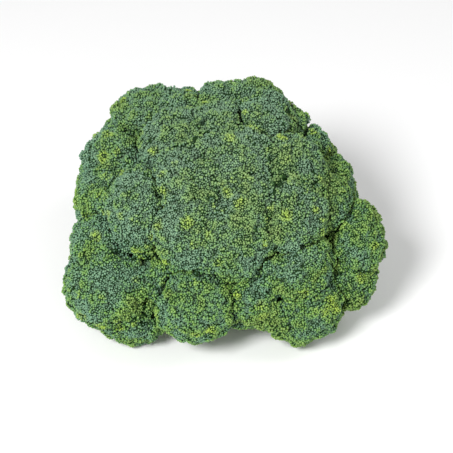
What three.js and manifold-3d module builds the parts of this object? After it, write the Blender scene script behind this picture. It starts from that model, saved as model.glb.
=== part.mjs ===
// A head of broccoli, cut from the plant: a pale stalk that forks into branches, and on
// each branch one floret, a lumpy dome of bud clusters. Millimetres, +Z up. The origin is
// the centre of the stalk's cut face, which stands on z = 0, and the front faces -Y.
import * as THREE from 'three';
import { ConvexHull } from 'three/addons/math/ConvexHull.js';
import { mergeVertices } from 'three/addons/utils/BufferGeometryUtils.js';
import Module from 'manifold-3d';

const { degToRad, lerp } = THREE.MathUtils;

// ---- Driving dimensions (mm and degrees) ----

const crownTilt = degToRad(22); // the crown leans this far to the front
const forkHeight = 31; // of the point that the branches fan out from, over the cut face
const clearance = 0.3; // between pieces that touch

// One row a floret: turn round the crown's axis from the front (towards +X), lean away
// from that axis, reach from the fork to the floret's centre, and size, its dome's radius.
const floretRows = {
  top: [
    [115, 4, 72, 34],
    [146, 26, 71, 33],
    [-173, 20, 71, 33],
    [96, 26, 71, 34],
    [32, 19, 70, 34],
    [-126, 25, 72, 33],
    [-64, 17, 71, 34],
  ],
  front: [
    [-32, 28, 70, 34],
    [7, 29, 69, 33],
    [55, 33, 71, 35],
    [-16, 62, 69, 32],
    [15, 60, 58, 32],
    [41, 74, 73, 32],
    [-36, 61, 65, 31],
    [44, 51, 70, 33],
  ],
  left: [
    [-69, 38, 71, 35],
    [-110, 54, 79, 32],
    [-91, 57, 77, 31],
    [-67, 64, 80, 31],
    [-54, 70, 89, 32],
    [-46, 79, 79, 30],
  ],
  right: [
    [79, 49, 69, 33],
    [103, 57, 67, 31],
    [74, 66, 82, 31],
    [61, 75, 82, 28],
  ],
  back: [
    [-136, 51, 84, 31],
    [-153, 43, 74, 30],
    [-157, 57, 73, 30],
    [-179, 40, 76, 29],
    [160, 42, 78, 30],
    [140, 45, 69, 31],
    [125, 51, 67, 31],
    [176, 60, 76, 27],
    [151, 63, 71, 27],
    [-132, 70, 81, 28],
    [-108, 74, 77, 27],
  ],
  low: [
    [127, 73, 68, 26],
    [107, 78, 68, 26],
    [-157, 78, 79, 26],
    [174, 82, 76, 25],
    [148, 87, 70, 23],
    [-84, 78, 77, 23],
    [-130, 92, 73, 22],
    [86, 86, 73, 22],
  ],
};

const bud = {
  spacing: 7.4, // between neighbouring bud clusters
  height: 1.9, // of a cluster's crest over the dips round it
  shallowest: 0.75, // of that height, the least that a dip goes down
  jitter: 0.16, // of the spacing, how far a cluster strays
  rimWidth: 1.05, // of the spacing, the close row of corners where a floret meets the next
  hiddenSpacing: 18, // of the corners where a floret is pressed against its neighbours
};

const knob = {
  spacing: 17, // between the larger knobs that bud clusters gather into
  jitter: 0.25,
  radius: 0.42, // of the floret's size
  sink: [-0.02, 0.05], // of the floret's size, how far knobs stand back from the dome
  core: 0.92, // of the floret's size, the dome under the knobs
};

const underside = {
  edge: degToRad(101), // from the floret's axis, where the buds stop
  seatDrop: 0.56, // of the floret's size, from its centre down to its branch
  seatRadius: 0.36, // of the floret's size
};

const trunk = {
  radius: 21.5,
  neckRadius: 25, // where the branches leave
  neckSpread: 3, // the higher, the later the trunk widens
  ridges: 5,
  ridgeDepth: 1.1,
  sides: 15,
  steps: 3,
  below: 14, // built past the cut face, then cut off flat
  above: 4, // past the fork
};

// The radii are parts of the floret's size, and the pulls parts of the branch's length.
const branch = {
  sides: 6,
  steps: 3,
  rootRadius: 0.3,
  waistRadius: 0.22,
  waistAt: 0.67, // of the way up
  leavePull: 0.3, // how far it first follows the trunk
  arrivePull: 0.35, // how far it ends in line with its floret
  drop: 20, // how far down the trunk the outermost branches start
  carveMargin: 0.5, // cut away from a branch that passes close by another floret
};

const leafStubs = {
  turns: [84, 156, -126], // round the trunk
  height: -27, // along the trunk's axis, from the fork
  rise: degToRad(76), // from the trunk's axis
  length: 31,
  halfWidth: 8,
  halfThickness: 3.6,
  sides: 8,
};

const groundBlock = { width: 200, depth: 100 };

const pale = { color: 0x9fb877, roughness: 0.55, metalness: 0 };
const green = { color: 0x4d7340, roughness: 0.85, metalness: 0 };

// ---- Shared helpers ----

const right = new THREE.Vector3(1, 0, 0);
const up = new THREE.Vector3(0, 0, 1);
const crownAxis = up.clone().applyAxisAngle(right, crownTilt);
const fork = new THREE.Vector3(0, -Math.tan(crownTilt) * forkHeight, forkHeight);

// A direction that leans from the crown's axis, turned round it from the front.
function crownDirection(turn, lean) {
  return up.clone()
    .applyAxisAngle(right, lean)
    .applyAxisAngle(up, turn)
    .applyAxisAngle(right, crownTilt);
}

function seededRandom(seed) {
  let state = seed >>> 0;
  return () => {
    state = (state + 0x6d2b79f5) >>> 0;
    let mixed = Math.imul(state ^ (state >>> 15), state | 1);
    mixed ^= mixed + Math.imul(mixed ^ (mixed >>> 7), mixed | 61);
    return ((mixed ^ (mixed >>> 14)) >>> 0) / 2 ** 32;
  };
}

// Directions spread evenly over the sphere on a golden spiral, about `spacing` apart at
// `radius`, each strayed by up to `jitter` of the spacing.
function spreadDirections(radius, spacing, jitter, random) {
  const goldenTurn = Math.PI * (3 - Math.sqrt(5));
  const cell = spacing * spacing * Math.sqrt(3) / 2;
  const count = Math.round(4 * Math.PI * radius * radius / cell);
  const stray = jitter * spacing / radius;
  const start = random() * Math.PI;
  return Array.from({ length: count }, (_, i) => {
    const height = 1 - (2 * i + 1) / count;
    const ring = Math.sqrt(1 - height * height);
    const turn = start + goldenTurn * i;
    const direction = new THREE.Vector3(ring * Math.cos(turn), ring * Math.sin(turn), height);
    const push = new THREE.Vector3(random() - 0.5, random() - 0.5, random() - 0.5);
    return direction.addScaledVector(push, 2 * stray).normalize();
  });
}

function hullTriangles(directions) {
  const indexOf = new Map(directions.map((direction, i) => [direction, i]));
  const hull = new ConvexHull().setFromPoints(directions);
  return hull.faces.map(({ edge }) => (
    [edge, edge.next, edge.next.next].map((side) => indexOf.get(side.head().point))
  ));
}

function solidGeometry(points, triangles) {
  const geometry = new THREE.BufferGeometry().setFromPoints(points);
  geometry.setIndex(triangles.flat());
  return geometry;
}

function namedMesh(name, geometry, finish) {
  const mesh = new THREE.Mesh(geometry, new THREE.MeshStandardMaterial(finish));
  mesh.name = name;
  return mesh;
}

// ---- Florets ----

const florets = Object.entries(floretRows).flatMap(([region, rows]) => (
  rows.map(([turn, lean, reach, size], i) => {
    const axis = crownDirection(degToRad(turn), degToRad(lean));
    const centre = fork.clone().addScaledVector(axis, reach);
    return { name: `floret_${region}_${i + 1}`, lean, axis, centre, size };
  })
));

// A floret keeps to its own side of the plane between it and each neighbour, stays over
// the ground, and is flat where it sits on its branch.
function flatLimits(floret) {
  const limits = [
    { normal: up.clone().negate(), distance: floret.centre.z },
    { normal: floret.axis.clone().negate(), distance: underside.seatDrop * floret.size },
  ];
  for (const other of florets) {
    const toOther = other.centre.clone().sub(floret.centre);
    const apart = toOther.length();
    if (other !== floret && apart < floret.size + other.size) {
      const share = (apart ** 2 + floret.size ** 2 - other.size ** 2) / (2 * apart);
      limits.push({ normal: toOther.normalize(), distance: share - clearance / 2 });
    }
  }
  return limits;
}

// The underside is a shallow cone from the lowest buds in to the seat.
function undersideReach(angle, size) {
  if (angle < underside.edge) return Infinity;
  const edgeOut = size * Math.sin(underside.edge);
  const edgeDown = -size * Math.cos(underside.edge);
  const slopeOut = edgeOut - size * underside.seatRadius;
  const slopeDown = size * underside.seatDrop - edgeDown;
  const facing = Math.sin(angle) * slopeDown - Math.cos(angle) * slopeOut;
  return (edgeOut * slopeDown + edgeDown * slopeOut) / facing;
}

function makeKnobs(size, random) {
  const radius = knob.radius * size;
  return spreadDirections(size, knob.spacing, knob.jitter, random).map((direction) => {
    const sink = lerp(knob.sink[0], knob.sink[1], random()) * size;
    return { centre: direction.multiplyScalar(size - radius - sink), radius };
  });
}

// How far the knobs and the dome under them reach along a direction from the centre.
function knobReach(direction, knobs, size) {
  let reach = knob.core * size;
  for (const { centre, radius } of knobs) {
    const along = direction.dot(centre);
    const inside = along * along - centre.lengthSq() + radius * radius;
    if (inside > 0) reach = Math.max(reach, along + Math.sqrt(inside));
  }
  return reach;
}

// A floret has a crest for each bud cluster, a dip in the middle of each three crests,
// and only a few corners where it is pressed flat and can't be seen.
function floretGeometry(floret, seed) {
  const { axis, size } = floret;
  const random = seededRandom(seed);
  const limits = flatLimits(floret);
  const knobs = makeKnobs(size, random);

  function limitReach(direction) {
    let reach = undersideReach(direction.angleTo(axis), size);
    for (const { normal, distance } of limits) {
      const facing = direction.dot(normal);
      if (facing > 0) reach = Math.min(reach, distance / facing);
    }
    return reach;
  }

  const isOpen = (direction) => limitReach(direction) > knobReach(direction, knobs, size);
  const isNear = (direction, others, distance) => (
    others.some((other) => other.distanceTo(direction) < distance / size)
  );

  const lattice = spreadDirections(size, bud.spacing, bud.jitter, random);
  const crests = lattice.filter(isOpen);
  const rim = lattice.filter((direction) => (
    !isOpen(direction) && isNear(direction, crests, bud.spacing * bud.rimWidth)
  ));
  const pressed = spreadDirections(size, bud.hiddenSpacing, 0, random).filter((direction) => (
    !isOpen(direction) && !isNear(direction, rim, bud.hiddenSpacing / 2)
  ));
  const corners = [...crests, ...rim, ...pressed];
  const dips = hullTriangles(corners)
    .filter((triangle) => triangle.every((corner) => corner < crests.length))
    .map(([a, b, c]) => corners[a].clone().add(corners[b]).add(corners[c]).normalize());

  const directions = [...corners, ...dips];
  const points = directions.map((direction, i) => {
    const dip = i < crests.length ? 0 : bud.height * lerp(bud.shallowest, 1, random());
    const reach = knobReach(direction, knobs, size) - dip;
    return direction.clone().multiplyScalar(Math.min(reach, limitReach(direction)));
  });
  return solidGeometry(points, hullTriangles(directions));
}

// ---- Stalk ----

// A closed limb along a curve: a ring of corners at each step, and a flat cap at each end.
// `profile(along, turn)` gives the radii in the limb's two directions across.
function limbGeometry(curve, steps, sides, profile) {
  const spine = curve.getPoints(steps);
  const { normals, binormals } = curve.computeFrenetFrames(steps);
  const points = [];
  const triangles = [];
  for (let step = 0; step <= steps; step += 1) {
    for (let side = 0; side < sides; side += 1) {
      const turn = 2 * Math.PI * side / sides;
      const [wide, thick] = profile(step / steps, turn);
      points.push(spine[step].clone()
        .addScaledVector(normals[step], wide * Math.cos(turn))
        .addScaledVector(binormals[step], thick * Math.sin(turn)));
    }
  }
  for (let step = 0; step < steps; step += 1) {
    for (let side = 0; side < sides; side += 1) {
      const a = step * sides + side;
      const b = step * sides + (side + 1) % sides;
      triangles.push([a, b, b + sides], [a, b + sides, a + sides]);
    }
  }
  const last = steps * sides;
  for (let side = 1; side < sides - 1; side += 1) {
    triangles.push([0, side + 1, side], [last, last + side, last + side + 1]);
  }
  return solidGeometry(points, triangles);
}

function trunkGeometry() {
  const foot = fork.clone().addScaledVector(crownAxis, -fork.length() - trunk.below);
  const head = fork.clone().addScaledVector(crownAxis, trunk.above);
  const profile = (along, turn) => {
    const radius = lerp(trunk.radius, trunk.neckRadius, along ** trunk.neckSpread);
    const ridged = radius + trunk.ridgeDepth * Math.cos(trunk.ridges * turn);
    return [ridged, ridged];
  };
  return limbGeometry(new THREE.LineCurve3(foot, head), trunk.steps, trunk.sides, profile);
}

function branchGeometry({ axis, centre, size, lean }) {
  const end = centre.clone().addScaledVector(axis, -underside.seatDrop * size - clearance);
  const start = fork.clone().addScaledVector(crownAxis, -branch.drop * lean / 90);
  const length = start.distanceTo(end);
  const leave = start.clone().addScaledVector(crownAxis, branch.leavePull * length);
  const arrive = end.clone().addScaledVector(axis, -branch.arrivePull * length);
  const curve = new THREE.CubicBezierCurve3(start, leave, arrive, end);
  const profile = (along) => {
    const narrowing = Math.min(1, along / branch.waistAt);
    const limb = lerp(branch.rootRadius, branch.waistRadius, narrowing);
    const radius = size * (along < 1 ? limb : underside.seatRadius);
    return [radius, radius];
  };
  return limbGeometry(curve, branch.steps, branch.sides, profile);
}

// The cut base of a leaf's stem, which leaves the trunk sideways.
function leafStubGeometry(turn) {
  const root = fork.clone().addScaledVector(crownAxis, leafStubs.height);
  const outward = crownDirection(degToRad(turn), leafStubs.rise);
  const tip = root.clone().addScaledVector(outward, leafStubs.length);
  const profile = () => [leafStubs.halfWidth, leafStubs.halfThickness];
  return limbGeometry(new THREE.LineCurve3(root, tip), 1, leafStubs.sides, profile);
}

const wasm = await Module();
wasm.setup();

function toManifold(geometry) {
  const bare = geometry.clone();
  bare.deleteAttribute('normal');
  bare.deleteAttribute('uv');
  const merged = mergeVertices(bare);
  return new wasm.Manifold(new wasm.Mesh({
    numProp: 3,
    vertProperties: new Float32Array(merged.attributes.position.array),
    triVerts: new Uint32Array(merged.index.array),
  }));
}

function toGeometry(solid) {
  const { vertProperties, triVerts } = solid.getMesh();
  const geometry = new THREE.BufferGeometry();
  geometry.setAttribute('position', new THREE.BufferAttribute(vertProperties, 3));
  geometry.setIndex(new THREE.BufferAttribute(triVerts, 1));
  return geometry;
}

// The room that a floret takes up among the branches: the floret itself, a little larger.
function floretRoom({ geometry, centre, size }) {
  const growth = 1 + branch.carveMargin / size;
  return toManifold(geometry.clone().scale(growth, growth, growth).translate(...centre));
}

function stalkGeometry() {
  const limbs = [
    trunkGeometry(),
    ...florets.map(branchGeometry),
    ...leafStubs.turns.map(leafStubGeometry),
  ];
  const ground = new THREE.BoxGeometry(groundBlock.width, groundBlock.width, groundBlock.depth)
    .translate(0, 0, -groundBlock.depth / 2);
  const joined = limbs.map(toManifold).reduce((whole, limb) => whole.add(limb));
  const standing = joined.subtract(toManifold(ground));
  return toGeometry(florets.map(floretRoom).reduce((whole, room) => whole.subtract(room), standing));
}

// ---- The head ----

florets.forEach((floret, i) => {
  floret.geometry = floretGeometry(floret, i + 1);
});

const head = new THREE.Group();
head.add(namedMesh('stalk', stalkGeometry(), pale));
for (const { name, geometry, centre } of florets) {
  const mesh = namedMesh(name, geometry, green);
  mesh.position.copy(centre);
  head.add(mesh);
}

export default head;
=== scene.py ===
import math
import random

import bmesh
import bpy
import numpy as np
from mathutils import Matrix, Vector, noise
from mathutils.bvhtree import BVHTree


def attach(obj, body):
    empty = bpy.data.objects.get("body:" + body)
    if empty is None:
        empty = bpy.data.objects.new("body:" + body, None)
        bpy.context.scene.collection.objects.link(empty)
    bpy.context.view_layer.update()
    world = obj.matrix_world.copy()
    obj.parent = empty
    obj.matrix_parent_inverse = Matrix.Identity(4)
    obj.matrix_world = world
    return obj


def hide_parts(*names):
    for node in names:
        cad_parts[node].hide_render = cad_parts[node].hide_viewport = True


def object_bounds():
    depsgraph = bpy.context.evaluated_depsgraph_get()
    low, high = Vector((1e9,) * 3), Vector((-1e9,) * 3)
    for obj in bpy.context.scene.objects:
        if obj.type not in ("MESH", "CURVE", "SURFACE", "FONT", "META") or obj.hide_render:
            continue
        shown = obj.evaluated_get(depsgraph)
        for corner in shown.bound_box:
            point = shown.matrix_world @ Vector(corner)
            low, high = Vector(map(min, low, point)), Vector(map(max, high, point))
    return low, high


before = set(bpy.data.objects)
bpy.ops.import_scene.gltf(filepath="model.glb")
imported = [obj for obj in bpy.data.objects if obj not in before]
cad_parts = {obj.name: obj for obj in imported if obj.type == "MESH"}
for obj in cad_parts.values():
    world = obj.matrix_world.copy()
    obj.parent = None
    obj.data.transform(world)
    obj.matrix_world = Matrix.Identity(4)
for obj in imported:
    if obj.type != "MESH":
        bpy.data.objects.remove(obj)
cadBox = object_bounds()

# A head of broccoli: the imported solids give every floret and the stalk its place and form,
# and this script gives them their buds, stalklets and skin. Metres, +Z up, front to -Y.

mm = 0.001
weld = 0.001 * mm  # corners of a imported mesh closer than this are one
scene = bpy.context.scene
bodyName = "root"

head = {
    "forkHeight": 31 * mm,  # the branches fan out from here, over the cut face
    "crownTilt": math.radians(22),  # the crown leans this far to the front
}
crownAxis = Vector((0, -math.sin(head["crownTilt"]), math.cos(head["crownTilt"])))
fork = Vector((0, -math.tan(head["crownTilt"]) * head["forkHeight"], head["forkHeight"]))


# Sockets of the Mix node for colours and of the Random Value node for numbers, by their
# place, because others on the same node share their names.
mixA, mixB, mixOut = 6, 7, 2
randomMin, randomMax, randomOut = 2, 3, 1


def linear(hexColour):
    channels = [int(hexColour[i:i + 2], 16) / 255 for i in (1, 3, 5)]
    return [c / 12.92 if c <= 0.04045 else ((c + 0.055) / 1.055) ** 2.4 for c in channels] + [1]


def addNode(tree, kind, settings=None, inputs=None):
    node = tree.nodes.new(kind)
    for name, value in (settings or {}).items():
        setattr(node, name, value)
    for socket, value in (inputs or {}).items():
        if isinstance(value, bpy.types.NodeSocket):
            tree.links.new(value, node.inputs[socket])
        else:
            node.inputs[socket].default_value = value
    return node


def newObject(name, mesh):
    obj = bpy.data.objects.new(name, mesh)
    scene.collection.objects.link(obj)
    return obj


def bakedMesh(obj, name):
    depsgraph = bpy.context.evaluated_depsgraph_get()
    mesh = bpy.data.meshes.new_from_object(obj.evaluated_get(depsgraph), depsgraph=depsgraph)
    mesh.name = name
    return mesh


def removeObject(obj):
    mesh = obj.data
    bpy.data.objects.remove(obj)
    if mesh.users == 0:
        bpy.data.meshes.remove(mesh)


def vertexPlaces(mesh):
    places = np.empty(len(mesh.vertices) * 3, np.float32)
    mesh.vertices.foreach_get("co", places)
    return places.reshape(-1, 3).astype(float)


def vertexNormals(mesh):
    normals = np.empty(len(mesh.vertices) * 3, np.float32)
    mesh.vertex_normals.foreach_get("vector", normals)
    return normals.reshape(-1, 3).astype(float)


def writePlaces(mesh, places):
    mesh.vertices.foreach_set("co", places.astype(np.float32).ravel())
    mesh.update()


def storeNumbers(mesh, name, values):
    layer = mesh.attributes.get(name) or mesh.attributes.new(name, "FLOAT", "POINT")
    layer.data.foreach_set("value", values.astype(np.float32))


def smoothStep(values, low, high):
    share = np.clip((values - low) / (high - low), 0, 1)
    return share * share * (3 - 2 * share)


def triangleCount(mesh):
    mesh.calc_loop_triangles()
    return len(mesh.loop_triangles)


def mergedCopy(node):
    bm = bmesh.new()
    bm.from_mesh(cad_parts[node].data)
    bmesh.ops.remove_doubles(bm, verts=bm.verts, dist=weld)
    return bm


def meshFrom(bm, name):
    mesh = bpy.data.meshes.new(name)
    bm.to_mesh(mesh)
    bm.free()
    return mesh


# A closed tube through a few points, with a radius at each.
def addTube(bm, points, radii, sides):
    rings = []
    for i, point in enumerate(points):
        ahead = points[min(i + 1, len(points) - 1)] - points[max(i - 1, 0)]
        turn = ahead.to_track_quat("Z", "Y")
        ring = []
        for k in range(sides):
            angle = 2 * math.pi * k / sides
            across = turn @ Vector((math.cos(angle), math.sin(angle), 0))
            ring.append(bm.verts.new(point + radii[i] * across))
        rings.append(ring)
    for low, high in zip(rings, rings[1:]):
        for k in range(sides):
            n = (k + 1) % sides
            bm.faces.new((low[k], low[n], high[n], high[k]))
    bm.faces.new(list(reversed(rings[0])))
    bm.faces.new(rings[-1])


# The camera and the room

camera = {
    "focal": 1300,  # pixels, in a picture 453 pixels wide
    "pictureWidth": 453,
    "sensor": 36,
    "place": Vector((1.56, -665.71, 549.55)) * mm,
    "lookDown": math.radians(38),
}
cameraData = bpy.data.cameras.new("camera")
cameraData.sensor_width = camera["sensor"]
cameraData.lens = camera["focal"] / camera["pictureWidth"] * camera["sensor"]
cameraObject = bpy.data.objects.new("camera", cameraData)
cameraObject.location = camera["place"]
cameraObject.rotation_euler = (math.pi / 2 - camera["lookDown"], 0, 0)
scene.collection.objects.link(cameraObject)
scene.camera = cameraObject

room = {
    "floorWidth": 8,
    "floorColour": "#fbfbfb",
    "floorRoughness": 0.95,
    "floorGloss": 0.1,
    "skyColour": "#ffffff",
    "skyStrength": 0.31,
    # place, aimed at the crown, width, watts
    "softboxes": {
        "keyLight": (Vector((-0.6, -0.98, 1.1)), 0.5, 24),
        "fillLight": (Vector((0.4, -1.2, 0.9)), 0.7, 2.5),
        "rightLight": (Vector((0.9, -0.1, 1.0)), 0.6, 3.5),
        "backLight": (Vector((0, 1.4, 0.7)), 0.9, 3.5),
    },
    "aim": Vector((0, -0.02, 0.05)),
}


def makeFloor():
    half = room["floorWidth"] / 2
    mesh = bpy.data.meshes.new("floor")
    corners = [(-half, -half, 0), (half, -half, 0), (half, half, 0), (-half, half, 0)]
    mesh.from_pydata(corners, [], [(0, 1, 2, 3)])
    floor = newObject("floor", mesh)
    # Matt white studio paper: no gloss, so it only takes the soft shadow under the head.
    paper = bpy.data.materials.new("mattStudioPaper")
    paper.use_nodes = True
    shader = paper.node_tree.nodes["Principled BSDF"]
    shader.inputs["Base Color"].default_value = linear(room["floorColour"])
    shader.inputs["Roughness"].default_value = room["floorRoughness"]
    shader.inputs["Specular IOR Level"].default_value = room["floorGloss"]
    mesh.materials.append(paper)


def makeLights():
    world = bpy.data.worlds.new("room")
    world.use_nodes = True
    scene.world = world
    background = world.node_tree.nodes["Background"]
    background.inputs["Color"].default_value = linear(room["skyColour"])
    background.inputs["Strength"].default_value = room["skyStrength"]
    for name, (place, width, watts) in room["softboxes"].items():
        lamp = bpy.data.lights.new(name, "AREA")
        lamp.shape = "DISK"
        lamp.size = width
        lamp.energy = watts
        obj = bpy.data.objects.new(name, lamp)
        obj.location = place
        obj.rotation_euler = (room["aim"] - place).to_track_quat("-Z", "Y").to_euler()
        scene.collection.objects.link(obj)
    scene.view_settings.view_transform = "Standard"


makeFloor()
makeLights()
print("room and camera made")


# Materials

budSkin = {
    "gap": "#264f1c",  # painted shade between the buds and at their feet, where little light gets in
    # grey-blue, blue-green, leaf green and olive, each at its place along the drift of green
    "tints": ((0.38, "#689278"), (0.46, "#62925d"), (0.54, "#6b9845"), (0.69, "#7c9c46")),
    "opening": "#acc838",  # the yellow of buds that are about to open
    "openingShare": 0.66,
    "ripeRange": (0.35, 1.3),  # the ripeness over which the yellow comes
    "ripeTone": 0.35,  # how much riper one bud of a cluster may be than the next
    "bloomAndHighlight": "#adc593",  # the pale wax on the tips, with a painted highlight on them
    "bloomAndHighlightShare": 0.4,
    "tipHeight": (0.67, 1.0),  # from the foot of a bud at 0 to its tip at 1
    # over these heights the painted shade at a bud's foot gives way to its colour
    "footShadeHeight": (0.02, 0.63),
    "wax": "#839480",  # the greyer coat of the oldest buds, round the top of the crown
    "waxHeight": (90 * mm, 130 * mm),  # along the crown's axis
    "waxShare": 0.3,
    "zoneSize": 17 * mm,
    "zoneDetail": 3.0,
    "zoneRoughness": 0.6,
    "sunnySide": (0.4, 0, -0.5),  # each metre this way is so much yellower
    "rimShare": 0.15,  # how much greyer the rim of a cluster is than its middle
    "toneShare": 0.18,  # how far the buds differ from each other in tint
    # from the darkest to the lightest, times the colour: a random tone, painted light on the crests and
    # painted shade in the creases
    "toneLight": (0.85, 1.1),
    "paintedCrestLight": (0.7, 1.2),
    "paintedCreaseShade": (0.5, 1.0),
    "roughness": 0.6,
    "gloss": 0.25,
    "ior": 1.42,
    "stem": "#8fae62",
    "stemPale": "#a9c07f",
    "streakSize": 3.3 * mm,
    "streakDetail": 4.0,
}


# Broccoli buds: closed green sepals with a dull coat of wax, grown, not finished in any
# way. The eye sees clusters with olive middles and grey-blue rims, and dark gaps between;
# the material paints shade into the gaps, the creases and the feet of the buds, and light on tips and
# crests.
def makeBudSkin():
    material = bpy.data.materials.new("waxyBudSkin")
    material.use_nodes = True
    tree = material.node_tree
    shader = tree.nodes["Principled BSDF"]
    place, height, tone, stem, rim, inside, ripe, crest = (
        addNode(tree, "ShaderNodeAttribute", {"attribute_name": name}) for name in
        ("budPlace", "budHeight", "budTone", "stemShare", "rim", "inside", "ripe", "crest"))

    # Slow drift of green over the crown, each bud in one tint, greyer at a cluster's rim.
    zone = addNode(tree, "ShaderNodeTexNoise", None, {
        "Vector": place.outputs["Vector"],
        "Scale": 1 / budSkin["zoneSize"],
        "Detail": budSkin["zoneDetail"],
        "Roughness": budSkin["zoneRoughness"],
    })
    strayed = addNode(tree, "ShaderNodeMath", {"operation": "MULTIPLY_ADD"}, {
        0: tone.outputs["Fac"], 1: budSkin["toneShare"], 2: zone.outputs["Fac"],
    })
    rimmed = addNode(tree, "ShaderNodeMath", {"operation": "MULTIPLY_ADD"}, {
        0: rim.outputs["Fac"], 1: -budSkin["rimShare"], 2: strayed.outputs[0],
    })
    sunny = addNode(tree, "ShaderNodeVectorMath", {"operation": "DOT_PRODUCT"}, {
        0: place.outputs["Vector"], 1: budSkin["sunnySide"],
    })
    warmed = addNode(tree, "ShaderNodeMath", None, {0: rimmed.outputs[0], 1: sunny.outputs["Value"]})
    tint = addNode(tree, "ShaderNodeValToRGB", None, {"Fac": warmed.outputs[0]})
    stops = tint.color_ramp.elements
    while len(stops) < len(budSkin["tints"]):
        stops.new(1)
    for stop, (drift, colour) in zip(stops, budSkin["tints"]):
        stop.position = drift
        stop.color = linear(colour)
    upwards = addNode(tree, "ShaderNodeVectorMath", {"operation": "DOT_PRODUCT"}, {
        0: place.outputs["Vector"], 1: crownAxis,
    })
    waxShare = addNode(tree, "ShaderNodeMapRange", None, {
        "Value": upwards.outputs["Value"],
        "From Min": budSkin["waxHeight"][0], "From Max": budSkin["waxHeight"][1],
        "To Max": budSkin["waxShare"],
    })
    waxed = addNode(tree, "ShaderNodeMix", {"data_type": "RGBA"}, {
        "Factor": waxShare.outputs[0], mixA: tint.outputs["Color"], mixB: linear(budSkin["wax"]),
    })

    # The middles of ripe clusters turn yellow, bud by bud.
    ripeTone = addNode(tree, "ShaderNodeMath", {"operation": "MULTIPLY_ADD"}, {
        0: tone.outputs["Fac"], 1: budSkin["ripeTone"], 2: ripe.outputs["Fac"],
    })
    yellow = addNode(tree, "ShaderNodeMapRange", None, {
        "Value": ripeTone.outputs[0],
        "From Min": budSkin["ripeRange"][0], "From Max": budSkin["ripeRange"][1],
        "To Max": budSkin["openingShare"],
    })
    tinted = addNode(tree, "ShaderNodeMix", {"data_type": "RGBA"}, {
        "Factor": yellow.outputs[0], mixA: waxed.outputs[mixOut], mixB: linear(budSkin["opening"]),
    })

    # From painted shade at the foot of a bud to its pale tip, which is part wax bloom and part painted
    # highlight.
    tipShare = addNode(tree, "ShaderNodeMapRange", None, {
        "Value": height.outputs["Fac"],
        "From Min": budSkin["tipHeight"][0], "From Max": budSkin["tipHeight"][1],
        "To Max": budSkin["bloomAndHighlightShare"],
    })
    tipped = addNode(tree, "ShaderNodeMix", {"data_type": "RGBA"}, {
        "Factor": tipShare.outputs[0], mixA: tinted.outputs[mixOut], mixB: linear(budSkin["bloomAndHighlight"]),
    })
    # Painted shade: the gap colour at the foot of each bud, fading out towards the tip.
    footShadeShare = addNode(tree, "ShaderNodeMapRange", {"interpolation_type": "SMOOTHSTEP"}, {
        "Value": height.outputs["Fac"],
        "From Min": budSkin["footShadeHeight"][0], "From Max": budSkin["footShadeHeight"][1],
    })
    shaded = addNode(tree, "ShaderNodeMix", {"data_type": "RGBA"}, {
        "Factor": footShadeShare.outputs[0], mixA: linear(budSkin["gap"]), mixB: tipped.outputs[mixOut],
    })

    # Each bud a little lighter or darker at random, with painted light on the crests and painted shade
    # in the creases.
    toned = shaded
    for source, setting in ((tone, "toneLight"), (crest, "paintedCrestLight"), (inside, "paintedCreaseShade")):
        light = addNode(tree, "ShaderNodeMapRange", None, {
            "Value": source.outputs["Fac"],
            "To Min": budSkin[setting][0], "To Max": budSkin[setting][1],
        })
        toned = addNode(tree, "ShaderNodeMix", {"data_type": "RGBA", "blend_type": "MULTIPLY"}, {
            "Factor": 1.0, mixA: toned.outputs[mixOut], mixB: light.outputs[0],
        })

    # The pale stalklets under a floret.
    coordinates = addNode(tree, "ShaderNodeTexCoord")
    streak = addNode(tree, "ShaderNodeTexNoise", None, {
        "Vector": coordinates.outputs["Object"],
        "Scale": 1 / budSkin["streakSize"],
        "Detail": budSkin["streakDetail"],
    })
    stemTint = addNode(tree, "ShaderNodeMix", {"data_type": "RGBA"}, {
        "Factor": streak.outputs["Fac"],
        mixA: linear(budSkin["stem"]),
        mixB: linear(budSkin["stemPale"]),
    })
    skin = addNode(tree, "ShaderNodeMix", {"data_type": "RGBA"}, {
        "Factor": stem.outputs["Fac"], mixA: toned.outputs[mixOut], mixB: stemTint.outputs[mixOut],
    })
    tree.links.new(skin.outputs[mixOut], shader.inputs["Base Color"])
    shader.inputs["Roughness"].default_value = budSkin["roughness"]
    shader.inputs["Specular IOR Level"].default_value = budSkin["gloss"]
    shader.inputs["IOR"].default_value = budSkin["ior"]
    return material


waxyBudSkin = makeBudSkin()


# Buds

bud = {
    "sides": 5,
    "length": 1.2 * mm,
    # heights over the skin, as parts of the length
    "foot": -0.4,
    "belly": 0.55,
    "tip": 1.0,
    "halfWidth": 0.76 * mm,
    "spacing": 0.93 * mm,
    "candidates": 4e6,  # tried to each square metre before the closest are dropped
    "sizes": (0.6, 1.25),  # of the smallest and the largest, times the measures above
    "tilt": math.radians(22),  # at most, from straight out of the skin
}


# One bud: a pointed foot that is sunk in the skin, a belly and a blunt tip.
def budShape():
    bm = bmesh.new()
    foot = bm.verts.new((0, 0, bud["foot"] * bud["length"]))
    belly = []
    for k in range(bud["sides"]):
        angle = 2 * math.pi * k / bud["sides"]
        belly.append(bm.verts.new((
            bud["halfWidth"] * math.cos(angle),
            bud["halfWidth"] * math.sin(angle),
            bud["belly"] * bud["length"],
        )))
    tip = bm.verts.new((0, 0, bud["tip"] * bud["length"]))
    for corner, following in zip(belly, belly[1:] + belly[:1]):
        bm.faces.new((foot, following, corner))
        bm.faces.new((corner, following, tip))
    for face in bm.faces:
        face.smooth = True
    mesh = meshFrom(bm, "budShape")
    heights = vertexPlaces(mesh)[:, 2] / bud["length"]
    storeNumbers(mesh, "budHeight", (heights - bud["foot"]) / (bud["tip"] - bud["foot"]))
    return newObject("budShape", mesh)


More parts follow.
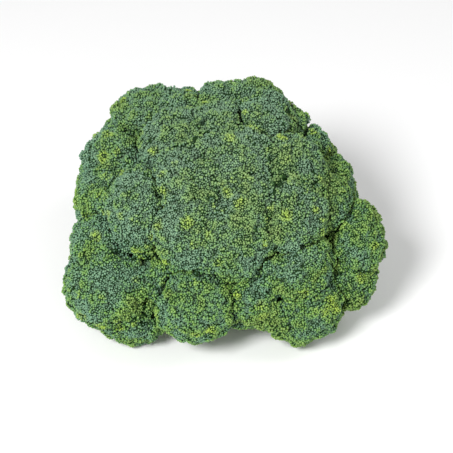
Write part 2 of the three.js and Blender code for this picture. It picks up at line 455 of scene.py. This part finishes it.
def budCoverTree():
    tree = bpy.data.node_groups.new("budCover", "GeometryNodeTree")
    sockets = tree.interface
    sockets.new_socket("Geometry", in_out="OUTPUT", socket_type="NodeSocketGeometry")
    sockets.new_socket("Geometry", in_out="INPUT", socket_type="NodeSocketGeometry")
    sockets.new_socket("Core", in_out="INPUT", socket_type="NodeSocketObject")
    sockets.new_socket("Bud", in_out="INPUT", socket_type="NodeSocketObject")
    sockets.new_socket("Skin", in_out="INPUT", socket_type="NodeSocketMaterial")
    for name in ("Spacing", "Candidates", "Smallest", "Largest", "Tilt"):
        sockets.new_socket(name, in_out="INPUT", socket_type="NodeSocketFloat")
    sockets.new_socket("Seed", in_out="INPUT", socket_type="NodeSocketInt")
    given = addNode(tree, "NodeGroupInput").outputs

    area = addNode(tree, "GeometryNodeInputNamedAttribute", {"data_type": "FLOAT"}, {"Name": "budArea"})
    points = addNode(tree, "GeometryNodeDistributePointsOnFaces", {"distribute_method": "POISSON"}, {
        "Mesh": given["Geometry"],
        "Distance Min": given["Spacing"],
        "Density Max": given["Candidates"],
        "Density Factor": area.outputs["Attribute"],
        "Seed": given["Seed"],
    })
    opposite = addNode(tree, "ShaderNodeMath", {"operation": "MULTIPLY"}, {0: given["Tilt"], 1: -1.0})
    low = addNode(tree, "ShaderNodeCombineXYZ", None, {0: opposite.outputs[0], 1: opposite.outputs[0]})
    high = addNode(tree, "ShaderNodeCombineXYZ", None, {
        0: given["Tilt"], 1: given["Tilt"], 2: 2 * math.pi,
    })
    lean = addNode(tree, "FunctionNodeRandomValue", {"data_type": "FLOAT_VECTOR"}, {
        0: low.outputs[0], 1: high.outputs[0], "Seed": given["Seed"],
    })
    turned = addNode(tree, "FunctionNodeRotateRotation", {"rotation_space": "LOCAL"}, {
        "Rotation": points.outputs["Rotation"], "Rotate By": lean.outputs[0],
    })
    size = addNode(tree, "FunctionNodeRandomValue", {"data_type": "FLOAT"}, {
        randomMin: given["Smallest"], randomMax: given["Largest"], "Seed": given["Seed"],
    })
    shape = addNode(tree, "GeometryNodeObjectInfo", None, {"Object": given["Bud"]})
    buds = addNode(tree, "GeometryNodeInstanceOnPoints", None, {
        "Points": points.outputs["Points"],
        "Instance": shape.outputs["Geometry"],
        "Rotation": turned.outputs[0],
        "Scale": size.outputs[randomOut],
    })
    chance = addNode(tree, "FunctionNodeRandomValue", {"data_type": "FLOAT"}, {
        randomMin: 0.0, randomMax: 1.0, "Seed": given["Seed"],
    })
    toned = addNode(tree, "GeometryNodeStoreNamedAttribute", {
        "data_type": "FLOAT", "domain": "INSTANCE",
    }, {"Geometry": buds.outputs[0], "Name": "budTone", "Value": chance.outputs[randomOut]})
    here = addNode(tree, "GeometryNodeInputPosition")
    placed = addNode(tree, "GeometryNodeStoreNamedAttribute", {
        "data_type": "FLOAT_VECTOR", "domain": "INSTANCE",
    }, {"Geometry": toned.outputs[0], "Name": "budPlace", "Value": here.outputs[0]})
    core = addNode(tree, "GeometryNodeObjectInfo", None, {"Object": given["Core"]})
    joined = addNode(tree, "GeometryNodeJoinGeometry")
    tree.links.new(core.outputs["Geometry"], joined.inputs[0])
    tree.links.new(placed.outputs[0], joined.inputs[0])
    real = addNode(tree, "GeometryNodeRealizeInstances", None, {"Geometry": joined.outputs[0]})
    skinned = addNode(tree, "GeometryNodeSetMaterial", None, {
        "Geometry": real.outputs[0], "Material": given["Skin"],
    })
    addNode(tree, "NodeGroupOutput", None, {"Geometry": skinned.outputs[0]})
    return tree


floret = {
    "voxel": 1.15 * mm,
    "smoothing": 3,
    "inset": 1.0 * mm,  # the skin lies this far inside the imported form, and the buds fill it
    "rimBlur": 2,  # how softly the inset and the buds run out where florets press together
    "crestBlur": 20,
    "crestHeight": 0.8 * mm,
    "crestLevel": 0.4,  # times the crest's height, what is neither a crest nor a dip
    "crestEvening": 2,
    "dipDepth": 0.5 * mm,  # how much deeper the dips round a packed bud cluster get
    "meets": 3.0 * mm,  # skin this close to a neighbour grows out to it
    "meetBlur": 3,
    "edgeHeight": (0.30, 0.37),  # over the seat, as parts of the size, where the buds begin
    "span": 1.54,  # from the seat to the top of the dome, as a part of the size
    "coreShare": 0.12,  # of the skin's triangles, which are enough under the buds
    "coreTone": 0.5,  # the middle one of the buds' tones
}

stalklets = {
    "ribs": 9,
    "twigs": 3,
    "seat": (0.30, 0.02),  # radius and height over the seat, as parts of the size
    "split": (0.58, 0.17),
    "tip": (0.90, 0.36),
    "ribRadius": (3.3 * mm, 2.5 * mm),
    "twigRadius": (1.9 * mm, 1.5 * mm),
    "wander": 0.18,  # of the room between two ribs, how far one stands out of line
    "fan": 0.62,  # of the room between two ribs, how wide the twigs spread
    "fanRange": (0.85, 1.15),
    "reach": 2.2 * mm,  # a twig that ends further than this from the form is left out
    "sides": 6,
}

# Florets in one soft surface, those of a lobe or all of them. They are drawn towards it:
# inside a lobe the creases are nearly filled and the domes flattened, so that it shows as
# one, and the creases between lobes are filled in part.
softForm = {
    "voxel": 2.2 * mm,
    "thickening": 0.8 * mm,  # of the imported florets, before the surface is softened
    "smoothing": 40,
}
crease = {
    "fillInLobe": 0.85,
    "fillBetweenLobes": 0.15,
    "flatten": 0.4,
    "full": 7 * mm,  # under this depth the lift no longer grows
    "fade": 20 * mm,
    "seam": 0.3 * mm,  # left open where two florets meet
    "clusterBlur": 10,  # leaves bud clusters out of what is measured
    "liftBlur": 4,
    "evening": 7,  # rounds that iron out folds where the skin has grown to a neighbour
    # where the buds run out
    "turned": (0.0, 0.4),  # from skin that faces across to skin that faces out
    "bareInLobe": (7 * mm, 10 * mm),  # depths under the lobe's soft surface
    "bareBetweenLobes": (8.3 * mm, 11.3 * mm),  # and under the whole crown's
}

# Where three florets meet, a hole would run down between them. Small heads fill it.
filler = {
    "voxel": 2.2 * mm,
    "thickening": 3 * mm,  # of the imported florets, so that the holes close over
    "smoothing": 8,
    "depth": 6.0 * mm,  # of a filler's middle under that closed surface
    "deeper": 0.8,  # between lobes, times how far the surface stands over the lobe
    "leastGap": 0.75 * mm,
    "bite": 1.6 * mm,  # how far it reaches into the floret that it grows on
    "subdivisions": 1,
    "facing": 0.4,  # how far the surface must look away from the fork
}

# The bud clusters that a floret is made of, from its own skin outwards.
clusters = {
    "radii": (3.2 * mm, 5.6 * mm),
    "crowding": 0.86,  # of the sum of two radii, the least distance between two middles
    "stray": 1.3 * mm,  # how far the borders wander
    "strayLength": 3.5 * mm,
    "straySeed": 5,  # of the noise, so that every run gives the same borders
    "creaseWidth": 0.48,  # as a part of the radius
    "creaseDepth": 2.6 * mm,
    "creasePatch": 7 * mm,  # some borders are deep and others hardly show, in patches this long
    "patchRange": (-0.45, 0.2),  # of the noise in the patches, from no crease to a whole one
    "domeHeight": 1.5 * mm,
    "unevenness": 0.8 * mm,  # how far a cluster may stand over the next
    "bare": 0.5,  # of the buds, how many grow in the deepest part of a crease
    "edge": (0.05, 0.3),  # of how far the skin shows, from bare to covered
    "ripeness": 13,  # the higher, the fewer clusters are about to open
    "ripeMiddle": (0.35, 0.9),  # parts of a cluster's radius, over which its yellow runs out
    "ripePatch": (1 * mm, 6 * mm),  # over which the yellow of a spot runs out
    # where a cluster is about to open, as the camera sees it, in pixels
    "ripeSpots": (
        (107, 132), (102, 157), (150, 150), (160, 192), (187, 222), (287, 215), (95, 235),
        (105, 215), (156, 225), (119, 325), (81, 317), (210, 332), (332, 300), (337, 310),
        (262, 307), (360, 277), (305, 295), (315, 130), (330, 150), (327, 312),
    ),
}

# Florets whose branches part late grow into one lobe. The others stand by themselves.
lobes = {
    "middle": "top_1 top_3 top_4 top_5 top_6 top_7 front_1 front_2 front_3 right_1 right_2",
    "rearLeft": "back_1 back_2 back_3",
    "rearRight": "top_2 back_4 back_5 back_6",
    "left": "left_1 left_2 left_3",
    "frontLeft": "left_4 left_5 left_6 front_7",
    "frontRight": "front_5 front_6 front_8",
    "rear": "back_7 back_8 back_9 low_3 low_4",
    "right": "right_3 right_4",
}
lobeOf = {"floret_" + short: lobe for lobe, members in lobes.items() for short in members.split()}

floretNodes = sorted(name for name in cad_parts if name.startswith("floret_"))


# Where a floret sits, read from its packed form: its axis runs from the fork through its
# middle, and its seat is its lowest part along that axis.
def floretFrame(places):
    axis = (Vector(places.mean(0)) - fork).normalized()
    along = (places - np.array(fork)) @ np.array(axis)
    size = (along.max() - along.min()) / floret["span"]
    seat = fork + axis * float(along.min())
    return axis, seat, size


def addStalklets(bm, axis, seat, size, solid, rng):
    turn = axis.to_track_quat("Z", "Y")

    def spot(radiusAndHeight, angle):
        radius, height = radiusAndHeight
        flat = Vector((math.cos(angle), math.sin(angle), 0)) * radius * size
        return seat + turn @ (flat + Vector((0, 0, height * size)))

    for rib in range(stalklets["ribs"]):
        step = 2 * math.pi / stalklets["ribs"]
        angle = step * (rib + rng.uniform(-stalklets["wander"], stalklets["wander"]))
        split = spot(stalklets["split"], angle)
        foot = spot(stalklets["seat"], angle)
        if solid.find_nearest(split)[3] > stalklets["reach"]:
            continue
        addTube(bm, [foot, (foot + split) / 2, split], [
            stalklets["ribRadius"][0],
            sum(stalklets["ribRadius"]) / 2,
            stalklets["ribRadius"][1],
        ], stalklets["sides"])
        for twig in range(stalklets["twigs"]):
            share = twig / (stalklets["twigs"] - 1) - 0.5
            away = angle + step * stalklets["fan"] * share * rng.uniform(*stalklets["fanRange"])
            tip = spot(stalklets["tip"], away)
            if solid.find_nearest(tip)[3] > stalklets["reach"]:
                continue
            addTube(bm, [split, split.lerp(tip, 0.5), tip], [
                stalklets["twigRadius"][0],
                stalklets["twigRadius"][1],
                stalklets["twigRadius"][0],
            ], stalklets["sides"])


# The skin under the buds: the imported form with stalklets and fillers, in one smooth surface.
def floretSkin(node, solid, axis, seat, size, balls, rng):
    bm = mergedCopy(node)
    addStalklets(bm, axis, seat, size, solid, rng)
    for middle, radius in balls:
        place = Matrix.Translation(middle)
        bmesh.ops.create_icosphere(
            bm, subdivisions=filler["subdivisions"], radius=radius, matrix=place)
    name = node + "_skin"
    return remeshed(meshFrom(bm, name), name, floret["voxel"], floret["smoothing"])


def remeshed(mesh, name, voxel, smoothing):
    obj = newObject(name, mesh)
    remesh = obj.modifiers.new("remesh", "REMESH")
    remesh.mode = "VOXEL"
    remesh.voxel_size = voxel
    remesh.use_smooth_shade = True
    smooth = obj.modifiers.new("smooth", "SMOOTH")
    smooth.iterations = smoothing
    skin = bakedMesh(obj, name)
    removeObject(obj)
    return skin


def polygonTree(mesh):
    corners = [tuple(v.co) for v in mesh.vertices]
    return BVHTree.FromPolygons(corners, [tuple(f.vertices) for f in mesh.polygons])


# Several packed florets, a little thicker than they are, fused and softened.
def fused(nodes, settings, name):
    whole = bmesh.new()
    for node in nodes:
        bm = mergedCopy(node)
        bm.normal_update()
        for vertex in bm.verts:
            vertex.co += vertex.normal * settings["thickening"]
        mesh = meshFrom(bm, node + "_thick")
        whole.from_mesh(mesh)
        bpy.data.meshes.remove(mesh)
    return remeshed(meshFrom(whole, name), name, settings["voxel"], settings["smoothing"])


def lobeTrees():
    members = {}
    for node in floretNodes:
        members.setdefault(lobeOf.get(node, node), []).append(node)
    return {lobe: polygonTree(fused(nodes, softForm, lobe)) for lobe, nodes in members.items()}


# The middle and radius of each filler, by the floret that it grows on.
def fillerBalls(forms, owners, lobeSurfaces):
    balls = {node: [] for node in floretNodes}
    for vertex in fused(floretNodes, filler, "closedCrown").vertices:
        if vertex.normal.dot((vertex.co - fork).normalized()) < filler["facing"]:
            continue
        owner = owners[forms.find_nearest(vertex.co)[2]]
        overLobe = heightOver(lobeSurfaces[lobeOf.get(owner, owner)], vertex.co)[0]
        between = max(0, overLobe - filler["thickening"])
        middle = vertex.co - vertex.normal * (filler["depth"] + filler["deeper"] * between)
        nearest, normal, face, _ = forms.find_nearest(middle)
        gap = (middle - nearest).dot(normal)
        if gap > filler["leastGap"]:
            balls[owners[face]].append((middle, gap + filler["bite"]))
    return balls


# A pixel, followed from the camera to the florets.
def spotOnFlorets(forms, spot):
    across, down = (p - camera["pictureWidth"] / 2 for p in spot)
    ray = Vector((across, -down, -camera["focal"]))
    ray.rotate(cameraObject.rotation_euler)
    return forms.ray_cast(camera["place"], ray)[0]


# Each value moves half way to the mean of its neighbours on the mesh, several times over.
def blurred(mesh, values, times):
    edges = np.empty(len(mesh.edges) * 2, np.int32)
    mesh.edges.foreach_get("vertices", edges)
    a, b = edges.reshape(-1, 2).T
    count = np.bincount(np.concatenate([a, b]), minlength=len(mesh.vertices))
    shape = (-1,) + (1,) * (values.ndim - 1)
    for _ in range(times):
        total = np.zeros_like(values)
        np.add.at(total, a, values[b])
        np.add.at(total, b, values[a])
        values = (values + total / count.reshape(shape)) / 2
    return values


def heightOver(surface, place):
    nearest, normal, _, _ = surface.find_nearest(place)
    return (place - nearest).dot(normal), normal


# How far a place is drawn to a soft surface, out of a crease or down from a dome.
def drawnBy(height, fill, flatten):
    if height > 0:
        return -flatten * height
    fade = 1 - smoothStep(-height, crease["full"], crease["fade"])
    return fill * min(-height, crease["full"]) * float(fade)


def softenForm(mesh, lobe, whole):
    places = vertexPlaces(mesh)
    lift = np.zeros_like(places)
    for i, place in enumerate(blurred(mesh, places, crease["clusterBlur"])):
        height, normal = heightOver(lobe, Vector(place))
        inLobe = drawnBy(height, crease["fillInLobe"], crease["flatten"]) * normal
        height, normal = heightOver(whole, Vector(place))
        between = drawnBy(height, crease["fillBetweenLobes"], 0) * normal
        lift[i] = between if between.length > inLobe.length else inLobe
    lifted = places + blurred(mesh, lift, crease["liftBlur"])
    writePlaces(mesh, blurred(mesh, lifted, crease["evening"]))


# How far each vertex shows: skin deep in a crease or turned away from the outside doesn't.
def shownShare(mesh, lobe, whole):
    shown = np.empty(len(mesh.vertices))
    for i, (place, facing) in enumerate(zip(vertexPlaces(mesh), vertexNormals(mesh))):
        height, normal = heightOver(lobe, Vector(place))
        wholeHeight = heightOver(whole, Vector(place))[0]
        shown[i] = (smoothStep(Vector(facing).dot(normal), *crease["turned"])
                    * (1 - smoothStep(-height, *crease["bareInLobe"]))
                    * (1 - smoothStep(-wholeHeight, *crease["bareBetweenLobes"])))
    return shown


# Middles and radii of the bud clusters, thrown on the skin where there is room for them.
def clusterMiddles(places, rng):
    middles, radii = np.empty((0, 3)), np.empty(0)
    for i in rng.sample(range(len(places)), len(places)):
        radius = rng.uniform(*clusters["radii"])
        apart = np.linalg.norm(middles - places[i], axis=1)
        if (apart > clusters["crowding"] * (radii + radius)).all():
            middles = np.vstack([middles, places[i]])
            radii = np.append(radii, radius)
    return middles, radii


# Domes with a crease round each. Stores how far from its cluster's middle a vertex is, how
# deep in a crease (fewer buds there, and painted shade), and how ripe its cluster.
def growClusters(mesh, share, spots, rng):
    places, normals = vertexPlaces(mesh), vertexNormals(mesh)
    middles, radii = clusterMiddles(places, rng)
    stray = [noise.noise_vector(Vector(place / clusters["strayLength"])) for place in places]
    strayed = places + np.array(stray) * clusters["stray"]
    distance = np.linalg.norm(strayed[:, None] - middles[None], axis=2) / radii
    own = distance.argmin(1)
    first, second = np.partition(distance, 1, axis=1)[:, :2].T
    depth = np.array([noise.noise(Vector(place / clusters["creasePatch"])) for place in places])
    inside = smoothStep(second - first, 0, clusters["creaseWidth"])
    inside = 1 - (1 - inside) * smoothStep(depth, *clusters["patchRange"])
    level = np.array([rng.uniform(-1, 1) for _ in radii])
    height = (inside - 1) * clusters["creaseDepth"]
    height -= clusters["domeHeight"] * np.minimum(first, 1) ** 2
    height += clusters["unevenness"] * level[own] * inside
    writePlaces(mesh, places + normals * (height * share)[:, None])

    ripeness = np.array([rng.random() ** clusters["ripeness"] for _ in radii])
    ripe = ripeness[own] * (1 - smoothStep(first, *clusters["ripeMiddle"]))
    for spot in spots:
        apart = np.linalg.norm(places - np.array(spot), axis=1)
        ripe = np.maximum(ripe, 1 - smoothStep(apart, *clusters["ripePatch"]))
    storeNumbers(mesh, "rim", np.minimum(first, 1))
    storeNumbers(mesh, "inside", inside)
    storeNumbers(mesh, "ripe", ripe)
    area = smoothStep(share, *clusters["edge"])
    storeNumbers(mesh, "budArea", area * (clusters["bare"] + (1 - clusters["bare"]) * inside))


# Deepens the dips, and stores how far each vertex stands over the mean of its
# surroundings, from 0 in a dip to 1 on a crest, for painted light on crests and painted shade in dips.
def markCrests(mesh, share):
    places, normals = vertexPlaces(mesh), vertexNormals(mesh)
    mean = blurred(mesh, places, floret["crestBlur"])
    height = ((places - mean) * normals).sum(1) / floret["crestHeight"]
    height = np.clip(blurred(mesh, height - floret["crestLevel"], floret["crestEvening"]), -1, 1)
    sunk = floret["dipDepth"] * np.minimum(height, 0) * share
    writePlaces(mesh, places + normals * sunk[:, None])
    storeNumbers(mesh, "crest", (1 + height) / 2)


def edgeShare(places, axis, seat, size):
    height = (places - np.array(seat)) @ np.array(axis) / size
    return smoothStep(height, *floret["edgeHeight"])


# Skin that faces a neighbour close by grows out to meet it.
def closeSeams(mesh, others):
    places, normals = vertexPlaces(mesh), vertexNormals(mesh)
    growth = np.zeros(len(places))
    for i in range(len(places)):
        gap = others.ray_cast(Vector(places[i]), Vector(normals[i]), floret["meets"])[3]
        if gap is not None:
            growth[i] = max(0, gap - crease["seam"])
    growth = blurred(mesh, growth, floret["meetBlur"])
    writePlaces(mesh, places + normals * growth[:, None])


def insetSkin(mesh, share):
    places, normals = vertexPlaces(mesh), vertexNormals(mesh)
    writePlaces(mesh, places - normals * floret["inset"] * share[:, None])


def thinned(mesh, name):
    obj = newObject(name, mesh.copy())
    thin = obj.modifiers.new("thin", "DECIMATE")
    thin.ratio = floret["coreShare"]
    core = bakedMesh(obj, name)
    removeObject(obj)
    for polygon in core.polygons:
        polygon.use_smooth = True
    return core


# What the material reads on the skin itself: a bud height and crease value of 0 give the bare skin
# between the buds the painted shade of a bud's foot and of a crease.
def markCore(mesh, axis, seat, size):
    places = vertexPlaces(mesh)
    storeNumbers(mesh, "stemShare", 1 - edgeShare(places, axis, seat, size))
    storeNumbers(mesh, "budHeight", np.zeros(len(places)))
    storeNumbers(mesh, "budTone", np.full(len(places), floret["coreTone"]))
    storeNumbers(mesh, "inside", np.zeros(len(places)))
    layer = mesh.attributes.new("budPlace", "FLOAT_VECTOR", "POINT")
    layer.data.foreach_set("vector", places.astype(np.float32).ravel())


def coverWithBuds(skin, core, shape, tree, seed, name):
    inputs = {item.name: item.identifier for item in tree.interface.items_tree
              if item.in_out == "INPUT"}
    obj = newObject(name + "_cover", skin)
    coreObject = newObject(name + "_core", core)
    modifier = obj.modifiers.new("buds", "NODES")
    modifier.node_group = tree
    settings = {
        "Core": coreObject,
        "Bud": shape,
        "Skin": waxyBudSkin,
        "Spacing": bud["spacing"],
        "Candidates": bud["candidates"],
        "Smallest": bud["sizes"][0],
        "Largest": bud["sizes"][1],
        "Tilt": bud["tilt"],
        "Seed": seed,
    }
    for key, value in settings.items():
        modifier[inputs[key]] = value
    mesh = bakedMesh(obj, name)
    removeObject(obj)
    removeObject(coreObject)
    return mesh


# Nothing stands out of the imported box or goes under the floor: a bud there is pressed flat.
def keepInBox(mesh):
    places = vertexPlaces(mesh)
    writePlaces(mesh, np.clip(places, np.array(cadBox[0]), np.array(cadBox[1])))


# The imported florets' faces and the floret that each belongs to, without one of them.
def formsTree(forms, without=None):
    corners, faces, owners = [], [], []
    for node, (nodeCorners, nodeFaces) in forms.items():
        if node != without:
            faces += [[i + len(corners) for i in face] for face in nodeFaces]
            corners += nodeCorners
            owners += [node] * len(nodeFaces)
    return BVHTree.FromPolygons(corners, faces), owners


def makeFlorets():
    noise.seed_set(clusters["straySeed"])
    shape = budShape()
    tree = budCoverTree()
    forms = {}
    for node in floretNodes:
        bm = mergedCopy(node)
        bmesh.ops.triangulate(bm, faces=bm.faces)
        forms[node] = ([v.co.copy() for v in bm.verts], [[v.index for v in f.verts] for f in bm.faces])
        bm.free()
    lobeSurfaces = lobeTrees()
    wholeSurface = polygonTree(fused(floretNodes, softForm, "crown"))
    packed, owners = formsTree(forms)
    balls = fillerBalls(packed, owners, lobeSurfaces)
    spots = [spotOnFlorets(packed, spot) for spot in clusters["ripeSpots"]]
    print("lobes made, and", sum(len(own) for own in balls.values()), "fillers between florets")
    total = 0
    for seed, node in enumerate(floretNodes):
        rng = random.Random(seed)
        solid = BVHTree.FromPolygons(*forms[node])
        others, _ = formsTree(forms, node)
        axis, seat, size = floretFrame(np.array(forms[node][0]))
        skin = floretSkin(node, solid, axis, seat, size, balls[node], rng)
        lobeSurface = lobeSurfaces[lobeOf.get(node, node)]
        closeSeams(skin, others)
        share = edgeShare(vertexPlaces(skin), axis, seat, size)
        softenForm(skin, lobeSurface, wholeSurface)
        share *= shownShare(skin, lobeSurface, wholeSurface)
        share = blurred(skin, share, floret["rimBlur"])
        insetSkin(skin, share)
        markCrests(skin, share)
        growClusters(skin, share, spots, rng)
        core = thinned(skin, node + "_core")
        markCore(core, axis, seat, size)
        name = node + "_buds"
        mesh = coverWithBuds(skin, core, shape, tree, seed, name)
        keepInBox(mesh)
        piece = newObject(name, mesh)
        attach(piece, bodyName)
        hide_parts(node)
        total += triangleCount(mesh)
    removeObject(shape)
    print("florets made:", len(floretNodes), "pieces,", total, "triangles")


makeFlorets()


# The stalk

stalk = {
    "voxel": 2.2 * mm,
    "smoothing": 4,
    "skin": "#93b16a",
    "paleSkin": "#b4c88c",
    "cutEdge": "#8aa65c",
    "cutMiddle": "#d3dcae",
    "rind": (13 * mm, 20 * mm),  # from the stalk's middle
    "cutDepth": (0.4 * mm, 0.9 * mm),  # over the cut, where its colour gives way to the skin
    "roughness": 0.5,
    "ior": 1.42,
    "fibre": 1.2 * mm,
    "fibreDetail": 4.0,
    "fibreStretch": 0.12,  # along the stalk, of the scale across it
    "streakRange": (0.3, 0.7),  # of the fibres' noise
    "streakLight": (0.88, 1.08),
    "bump": 0.35,
    "bumpHeight": 0.4 * mm,
    "blotch": 14 * mm,
    "blotchDetail": 3.0,
}


# Broccoli stalk: smooth living skin over long fibres. The eye sees pale green with faint
# lengthwise streaks, and a paler, moist face where the knife went through.
def makeStalkSkin():
    material = bpy.data.materials.new("stalkSkin")
    material.use_nodes = True
    tree = material.node_tree
    shader = tree.nodes["Principled BSDF"]
    coordinates = addNode(tree, "ShaderNodeTexCoord")
    stretched = addNode(tree, "ShaderNodeMapping", None, {
        "Vector": coordinates.outputs["Object"], "Scale": (1, 1, stalk["fibreStretch"]),
    })
    fibres = addNode(tree, "ShaderNodeTexNoise", None, {
        "Vector": stretched.outputs["Vector"],
        "Scale": 1 / stalk["fibre"],
        "Detail": stalk["fibreDetail"],
    })
    blotches = addNode(tree, "ShaderNodeTexNoise", None, {
        "Vector": coordinates.outputs["Object"],
        "Scale": 1 / stalk["blotch"],
        "Detail": stalk["blotchDetail"],
    })
    tint = addNode(tree, "ShaderNodeMix", {"data_type": "RGBA"}, {
        "Factor": blotches.outputs["Fac"],
        mixA: linear(stalk["skin"]),
        mixB: linear(stalk["paleSkin"]),
    })
    streaked = addNode(tree, "ShaderNodeMapRange", None, {
        "Value": fibres.outputs["Fac"],
        "From Min": stalk["streakRange"][0], "From Max": stalk["streakRange"][1],
        "To Min": stalk["streakLight"][0], "To Max": stalk["streakLight"][1],
    })
    toned = addNode(tree, "ShaderNodeMix", {"data_type": "RGBA", "blend_type": "MULTIPLY"}, {
        "Factor": 1.0, mixA: tint.outputs[mixOut], mixB: streaked.outputs[0],
    })
    # Across the cut, from the rind to the pale pith. Elsewhere the skin.
    away = addNode(tree, "ShaderNodeVectorMath", {"operation": "LENGTH"}, {
        0: coordinates.outputs["Object"],
    })
    pith = addNode(tree, "ShaderNodeMapRange", {"interpolation_type": "SMOOTHSTEP"}, {
        "Value": away.outputs["Value"],
        "From Min": stalk["rind"][0], "From Max": stalk["rind"][1],
        "To Min": 1.0, "To Max": 0.0,
    })
    cut = addNode(tree, "ShaderNodeMix", {"data_type": "RGBA"}, {
        "Factor": pith.outputs[0], mixA: linear(stalk["cutEdge"]), mixB: linear(stalk["cutMiddle"]),
    })
    upwards = addNode(tree, "ShaderNodeSeparateXYZ", None, {0: coordinates.outputs["Object"]})
    skinShare = addNode(tree, "ShaderNodeMapRange", None, {
        "Value": upwards.outputs["Z"],
        "From Min": stalk["cutDepth"][0], "From Max": stalk["cutDepth"][1],
    })
    whole = addNode(tree, "ShaderNodeMix", {"data_type": "RGBA"}, {
        "Factor": skinShare.outputs[0], mixA: cut.outputs[mixOut], mixB: toned.outputs[mixOut],
    })
    tree.links.new(whole.outputs[mixOut], shader.inputs["Base Color"])
    bump = addNode(tree, "ShaderNodeBump", None, {
        "Height": fibres.outputs["Fac"],
        "Strength": stalk["bump"],
        "Distance": stalk["bumpHeight"],
    })
    tree.links.new(bump.outputs[0], shader.inputs["Normal"])
    shader.inputs["Roughness"].default_value = stalk["roughness"]
    shader.inputs["IOR"].default_value = stalk["ior"]
    return material


def makeStalk():
    form = meshFrom(mergedCopy("stalk"), "stalk_form")
    skin = remeshed(form, "stalk_skin", stalk["voxel"], stalk["smoothing"])
    skin.materials.clear()
    skin.materials.append(makeStalkSkin())
    keepInBox(skin)
    piece = newObject("stalk_skin", skin)
    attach(piece, bodyName)
    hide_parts("stalk")
    print("stalk made:", triangleCount(skin), "triangles")


makeStalk()
